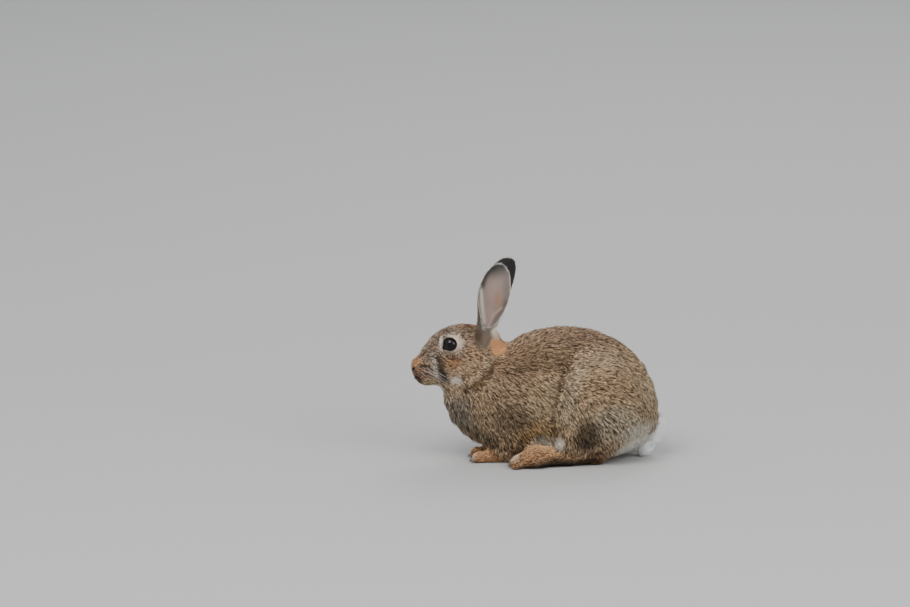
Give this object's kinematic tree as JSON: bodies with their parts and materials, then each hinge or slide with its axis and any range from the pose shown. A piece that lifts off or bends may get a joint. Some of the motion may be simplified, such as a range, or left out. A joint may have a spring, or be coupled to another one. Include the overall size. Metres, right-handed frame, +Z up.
{
  "type": "rabbit",
  "caption": "Wild rabbit crouched on all fours with ears up, a life-size still model in a brown agouti coat, standing on the flat soles of its feet.",
  "frame": {"origin": "on the floor, under the middle of the whole model's box", "axes": "+Z up, -X the way the nose points, +Y the rabbit's right side"},
  "size_m": [0.2566, 0.1194, 0.2049],
  "materials": {
    "coat": "agouti fur, brown-grey with dark and pale banded hair tips",
    "foot_fur": "short orange-tan fur",
    "ear_fur": "very short grey-brown fur outside, pinkish skin with thin hair inside",
    "tail_fur": "soft white fur",
    "eye": "wet, very dark brown",
    "claw": "smooth dark horn",
    "bare_skin": "dark bare skin of the lid margins and nostrils",
    "whisker": "smooth pale hair"
  },
  "bodies": {
    "root": {"head": "coat", "neck": "coat", "trunk": "coat", "haunch_left": "coat", "haunch_right": "coat", "hind_foot_left": "foot_fur", "hind_foot_right": "foot_fur", "foreleg_left": "foot_fur", "foreleg_right": "foot_fur", "tail": "tail_fur", "ear_left": "ear_fur", "ear_right": "ear_fur", "eye_left": "eye", "eye_right": "eye", "claw_fore_left_1": "claw", "claw_fore_left_2": "claw", "claw_fore_left_3": "claw", "claw_fore_left_4": "claw", "claw_fore_right_1": "claw", "claw_fore_right_2": "claw", "claw_fore_right_3": "claw", "claw_fore_right_4": "claw", "claw_hind_left_1": "claw", "claw_hind_left_2": "claw", "claw_hind_left_3": "claw", "claw_hind_left_4": "claw", "claw_hind_right_1": "claw", "claw_hind_right_2": "claw", "claw_hind_right_3": "claw", "claw_hind_right_4": "claw"}
  },
  "joints": []
}
